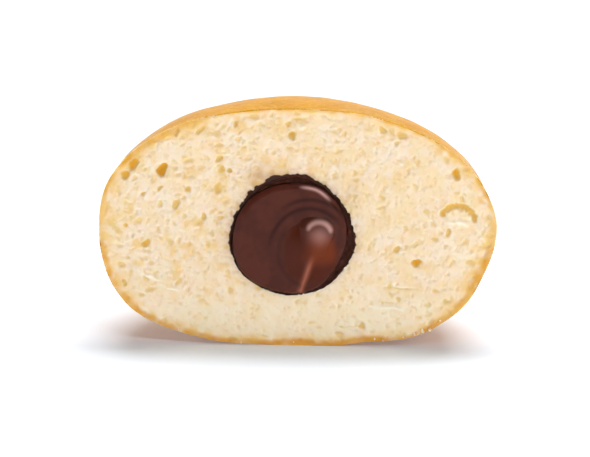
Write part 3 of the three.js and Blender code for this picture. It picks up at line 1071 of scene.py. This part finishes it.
# %% Colours and finish of the cut crumb
shade = colour("#f5e0c5")
for share, over in (
    (patchy, colour("#f3d9b0")),
    (grainy, colour("#e3c688")),
    (in_shade, colour("#ffedcf")),
    (gilded, colour("#ecc168")),
    # paler torn ridges, partly painted light
    (lifted, colour("#fff3e0")),
    # golden pore walls and floors, partly painted shade in the hollows
    (pore_side, colour("#e8c883")),
    (pore_floor, colour("#e6b040")),
    (kept["browned"], edge),
    (tinged, colour("#b5763c")),
    (smeared, colour("#3c1d12")),
):
    shade = add(tree, {0: share, 6: shade, 7: over}, **BLEND)
foam_bump = add(tree, blotches(places, 0.35, 2, 0.6), NOISE)
finish_surface(tree, {
    "Base Color": shade,
    "Roughness": add(tree, span(kept["soaked"], 0.3, 0.7, 0.85, 0.4), **STEP),
    "IOR": 1.4,
    "Specular IOR Level": 0.25,
    **scatter(0.35, 1.6, 0.9, 0.4),
}, foam_bump, 0.4, 0.1)

# %% [markdown]
# ## Crust
# The crust is dry and thin, with a trace of oil that gives it a soft shine. Close up it
# has fine wrinkles from shrinking as it cooled, which are bump: they are about a tenth of
# a millimetre high.

# %% Material of the crust
tree, places = new_material(dough, "deep_fried_crust")
wrinkles = add(tree, blotches(places, 1.4, 4, 0.6), NOISE)
blisters = add(tree, blotches(places, 0.45), NOISE)
relief = add(tree, {0: blisters, 1: 0.35, 2: wrinkles}, **TIMES_PLUS)
finish_surface(tree, {
    "Base Color": crust_colours(tree, places),
    "Roughness": add(tree, span(wrinkles, 0.3, 0.7, 0.42, 0.6), **STEP),
    "IOR": 1.45,
    "Specular IOR Level": 0.16,
    "Sheen Weight": 0.34,
    "Sheen Roughness": 0.3,
    **scatter(0.2, 1.4, 0.7, 0.3),
}, relief, 0.6, 0.25)

# %% [markdown]
# ## Chocolate cream
# Chocolate cream is cocoa and sugar in fat: opaque where it is thick, warmer and lighter
# where it is drawn thin, and glossy because the fat levels its surface. Fine ripples from
# piping show only in the reflections.

# %% Material of the cream
tree, places = new_material(cream, "piped_chocolate_cream")
streaks = add(tree, blotches(places, 3.5), NOISE)
streaky = add(tree, span(streaks, 0.35, 0.65), **STEP)
shade = add(tree, {0: streaky, 6: colour("#4b231a"), 7: colour("#54281d")}, **BLEND)
for name, strength, hex_value in (
    # deeper red, partly painted shade on the lobe's left side
    ("on_lobe", 1, "#4a1d10"),
    # warm orange: drawn thin, and partly painted light on the lobe's right side
    ("thin_and_painted_light", 1, "#6c2d10"),
    # pinkish: drawn thin, and partly a painted highlight along the tail
    ("tail", 0.85, "#a15b47"),
    # pale pink painted highlight on the head's edge and top and on the disc's rim
    ("painted_highlight", 0.85, "#cb9c94"),
    # painted shade in the piping's grooves
    ("painted_groove_shade", 0.75, "#2c0f0b"),
    # darker smear in the gap, partly painted shade of the recess
    ("in_gap", 1, "#3a1a0e"),
):
    share = kept[name] = add(tree, {}, "ShaderNodeAttribute", "Fac", attribute_name=name)
    if strength < 1:
        share = add(tree, {0: share, 1: strength}, **TIMES)
    shade = add(tree, {0: share, 6: shade, 7: colour(hex_value)}, **BLEND)
ripples = add(tree, blotches(places, 1.8), NOISE)
finish_surface(tree, {
    "Base Color": shade,
    "Roughness": add(tree, span(kept["in_gap"], 0, 1, 0.17, 0.5), **STEP),
    "IOR": 1.45,
    "Specular IOR Level": 0.12,
    **scatter(0.1, 1.0, 0.4, 0.25),
}, ripples, 0.12, 0.2)

# %% [markdown]
# ## Flecks
# The flecks are crumb too, but torn and dry on all sides, so they are paler and take no
# part in the browned edge.

# %% Material of the flecks
tree, places = new_material(flecks, "torn_dry_crumb")
patches = add(tree, blotches(places, 0.6), NOISE)
patchy = add(tree, span(patches, 0.4, 0.65), **STEP)
finish_surface(tree, {
    "Base Color": add(tree, {0: patchy, 6: colour("#faecd2"), 7: colour("#ecca8e")}, **BLEND),
    "Roughness": 0.85,
    **scatter(0.3, 1.2, 0.8, 0.4),
})

# %% [markdown]
# ## Joining the pieces to the frame
# Each piece rides on the part's one body. The dough and the cream take the place of the plain solids,
# which are hidden. The flecks are only dressing.

# %% Pieces on the frame
for piece, slot in ((dough, "dough"), (cream, "chocolate_cream"), (flecks, "dough")):
    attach(piece, "root")
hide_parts("dough")
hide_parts("cream_filling")
print("pieces:", dough.name, cream.name, flecks.name)

# %% [markdown]
# ## Table, light and camera
# The bun stands on a sheet of cool white acrylic that is lit from below, which product
# photographers use to keep the shade under a round thing light: weakly under the bun, and
# strongly further out, so that it meets the white walls without a line. The ceiling is
# dark. A panel overhead, a little behind the cut, gives most of the light, so that the bun
# shades a narrow strip in front of it, and a strip further back lights the crown. A low,
# wide softbox in front fills the cut, with a weak one at the right and one low at the
# left, a little behind the cut. A narrow strip at the upper right draws the gloss on the
# cream.

# %% Table
table_half = 3.0
table_glow = 0.12  # of the lamps below, up to near_to
far_glow = 1.15  # and from far_from outwards
near_to = 0.25
far_from = 0.7
corners = [(-1, -1), (1, -1), (1, 1), (-1, 1)]
table_mesh = bpy.data.meshes.new("white_table")
table_mesh.from_pydata([(x * table_half, y * table_half, 0) for x, y in corners], [], [(0, 1, 2, 3)])
table = add_object("white_table", table_mesh)
tree, places = new_material(table, "backlit_white_acrylic")
apart = add(tree, {0: places}, "ShaderNodeVectorMath", "Value", operation="LENGTH")
finish_surface(tree, {
    "Base Color": colour("#ecf2f9"),
    "Roughness": 0.9,
    "Emission Color": colour("#f0f6ff"),
    "Emission Strength": add(tree, span(apart, near_to, far_from, table_glow, far_glow), **STEP),
})
print("table:", 2 * table_half, "m wide")

# %% Surround
wall_glow = 1.0  # of the white walls, up to wall_top, the sine of the angle above level
ceiling_glow = 0.04  # and of the dark ceiling, from ceiling_foot upwards
wall_top = 0.1
ceiling_foot = 0.26
world = bpy.data.worlds.new("white_studio")
bpy.context.scene.world = world
world.use_nodes = True
tree = world.node_tree
tree.nodes.clear()
towards = add(tree, {}, "ShaderNodeTexCoord", "Generated")
upwards = add(tree, {"Vector": towards}, "ShaderNodeSeparateXYZ", "Z")
glow = add(tree, span(upwards, wall_top, ceiling_foot, wall_glow, ceiling_glow), **STEP)
surround = add(tree, {"Color": colour("#ffffff"), "Strength": glow}, "ShaderNodeBackground")
add(tree, {"Surface": surround}, "ShaderNodeOutputWorld")
print("surround:", wall_glow, "to", ceiling_glow)


# %% Lights
def soft_light(name, towards, distance, width, height, power, along=(1, 0, 0)):
    """A light in a direction from the bun's middle, aimed back at it, its width along a line."""
    lamp = bpy.data.lights.new(name, "AREA")
    lamp.shape = "RECTANGLE"
    lamp.size = width
    lamp.size_y = height
    lamp.energy = power
    light = add_object(name, lamp)
    back = Vector(towards).normalized()
    up = back.cross(Vector(along)).normalized()
    light.matrix_world = Matrix((up.cross(back), up, back)).transposed().to_4x4()
    light.location = middle + back * distance
    light.visible_camera = False
    print(name, "at", [round(v, 2) for v in light.location])


soft_light("overhead_panel", (0.1, 0.26, 0.96), 0.8, 0.75, 0.28, 8.1)
soft_light("back_strip", (0.0, 0.6, 0.8), 0.9, 0.8, 0.3, 1.1)
soft_light("gloss_strip", (0.45, -0.56, 0.68), 0.7, 1.1, 0.045, 1.5, along=(0.89, 0.07, -0.45))
soft_light("front_softbox", (0.1, -1.0, 0.08), 1.3, 1.0, 0.22, 3.3)
soft_light("side_softbox", (0.85, -0.2, 0.45), 0.9, 0.4, 0.4, 0.5, along=(0.2, 0.85, 0))
soft_light("left_softbox", (-0.9, 0.25, 0.3), 0.9, 0.5, 0.4, 1.1, along=(0.2, 0.85, 0))

# %% Camera
view_azimuth = math.radians(2.9)
view_elevation = math.radians(16.8)
view_distance = 0.9
frame_width = 0.127  # what the picture's width takes in, at the object
camera_data = bpy.data.cameras.new("camera")
camera_data.lens = camera_data.sensor_width * view_distance / frame_width
camera = add_object("camera", camera_data)
away = Vector((
    math.sin(view_azimuth) * math.cos(view_elevation),
    -math.cos(view_azimuth) * math.cos(view_elevation),
    math.sin(view_elevation),
))
camera.location = middle + away * view_distance
camera.rotation_euler = (-away).to_track_quat("-Z", "Y").to_euler()
bpy.context.scene.camera = camera
bpy.context.scene.view_settings.view_transform = "Standard"
print("lens, mm:", round(camera_data.lens))
